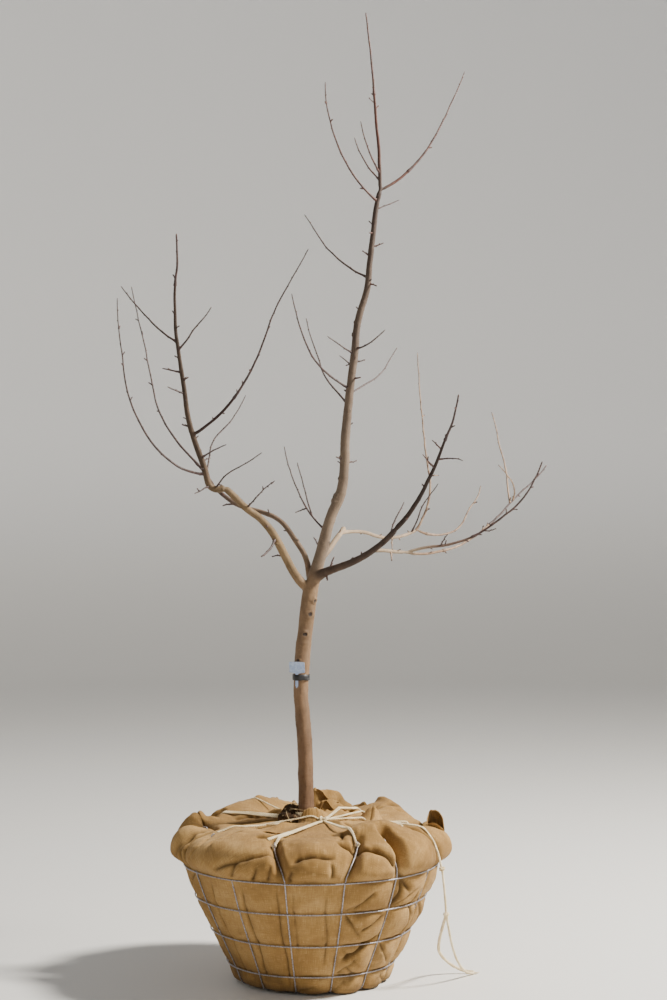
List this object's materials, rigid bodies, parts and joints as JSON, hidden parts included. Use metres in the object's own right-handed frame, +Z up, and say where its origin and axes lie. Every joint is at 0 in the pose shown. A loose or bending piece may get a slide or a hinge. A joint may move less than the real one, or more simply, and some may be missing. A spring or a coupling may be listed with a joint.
{
  "type": "young bare tree with burlapped root ball",
  "caption": "Young bare fruit tree on its own root ball: slim trunk, forked boughs and long shoots over a burlap-wrapped ball in a wire basket laced with twine.",
  "frame": {"origin": "centre of the root ball's flat underside, on the surface it stands on", "axes": "+Z up the tree, -Y the front that the picture shows, +X to the right of that view"},
  "size_m": [1.504, 1.0443, 3.2872],
  "materials": {
    "bark": "matte",
    "young_bark": "satin",
    "burlap": "matte",
    "basket_wire": "satin",
    "twine": "matte",
    "tag_card": "satin",
    "tag_band": "satin"
  },
  "bodies": {
    "root": {"trunk": "bark", "leader": "bark", "leader_top": "young_bark", "top_right_shoot": "young_bark", "top_left_shoot": "young_bark", "top_inner_shoot_rear": "young_bark", "top_inner_shoot_front": "young_bark", "leader_shoot_front": "young_bark", "leader_shoot_back": "young_bark", "leader_shoot_high": "young_bark", "leader_shoot_left": "young_bark", "leader_shoot_right": "young_bark", "leader_shoot_rear": "young_bark", "left_bough_lower": "bark", "left_bough_upper": "bark", "far_left_shoot": "young_bark", "left_arc_shoot": "young_bark", "left_side_shoot": "young_bark", "left_short_shoot": "young_bark", "left_inner_shoot": "young_bark", "left_thin_shoot": "young_bark", "inner_left_bough": "bark", "second_left_shoot": "young_bark", "rear_thin_shoot": "young_bark", "rear_thin_shoot_inner": "young_bark", "right_bough_lower": "bark", "right_bough_upper": "bark", "lower_right_bough": "bark", "lower_right_front_limb": "young_bark", "lower_right_rear_limb": "young_bark", "lower_right_upright": "young_bark", "rear_right_stem": "bark", "rear_right_arm": "bark", "rear_right_arc": "young_bark", "rear_right_upright": "young_bark", "rear_right_dark_shoot": "young_bark", "root_ball": "burlap", "wire_basket": "basket_wire", "twine_lacing": "twine", "twine_tail": "twine", "tag": "tag_card", "tag_band": "tag_band"}
  },
  "joints": []
}
